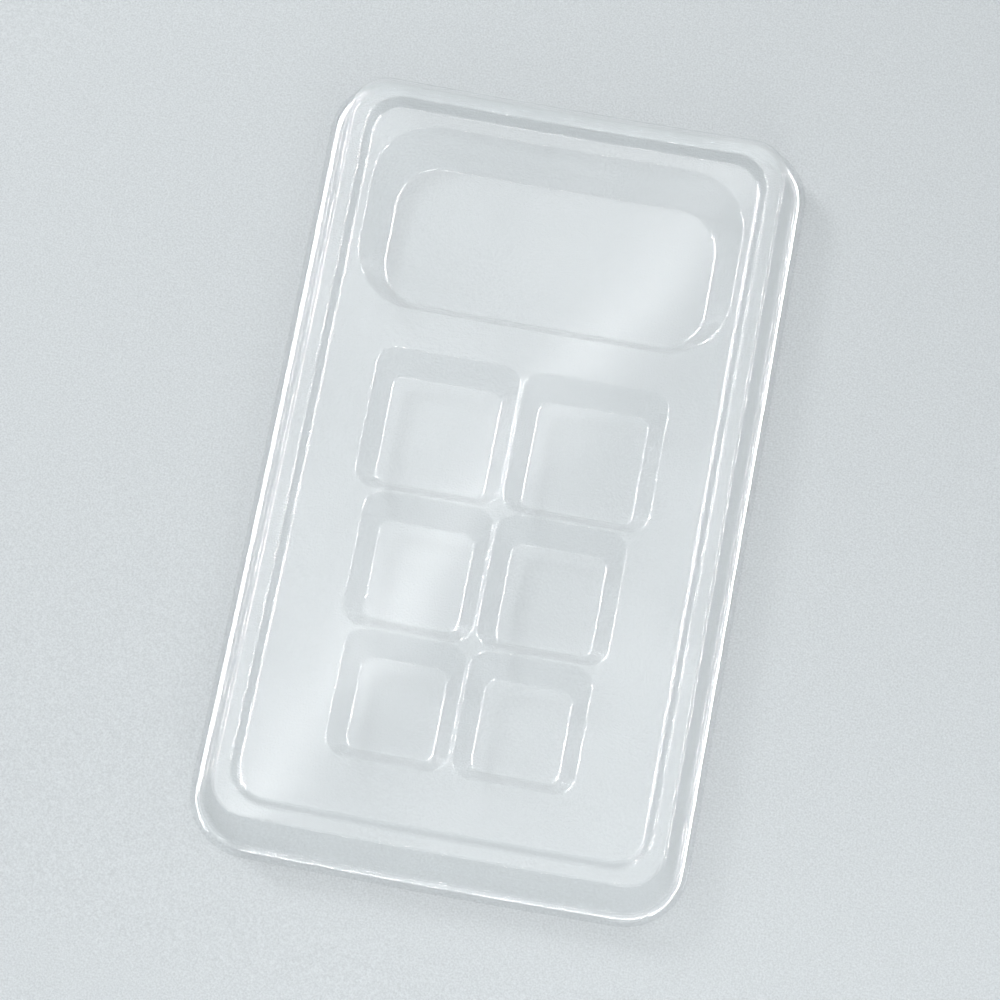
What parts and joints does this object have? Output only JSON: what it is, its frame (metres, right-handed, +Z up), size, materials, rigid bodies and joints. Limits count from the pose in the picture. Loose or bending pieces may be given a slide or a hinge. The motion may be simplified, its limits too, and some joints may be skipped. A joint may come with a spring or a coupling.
{
  "type": "soap tray with lid",
  "caption": "Low clear thermoformed soap tray with a large bar well and rows of small square tablet wells under a clear lift-off lid.",
  "frame": {"origin": "on the floor, under the middle of the tray's foot flange", "axes": "+X across the tray, +Y along it towards the end with the bar well, +Z up"},
  "size_m": [0.1104, 0.1844, 0.0163],
  "materials": {
    "clear_lid": "clear gloss thermoformed sheet",
    "clear_tray": "clear gloss thermoformed sheet"
  },
  "bodies": {
    "tray": {"tray_border": "clear_tray", "tray_deck": "clear_tray", "bar_well": "clear_tray", "tablet_well_far_left": "clear_tray", "tablet_well_far_right": "clear_tray", "tablet_well_middle_left": "clear_tray", "tablet_well_middle_right": "clear_tray", "tablet_well_near_left": "clear_tray", "tablet_well_near_right": "clear_tray"},
    "lid": {"lid": "clear_lid"}
  },
  "joints": [
    {"name": "lid_lift", "type": "slide", "parent": "tray", "child": "lid", "axis": [0, 0, 1], "range_m": [0, 0.04]}
  ]
}
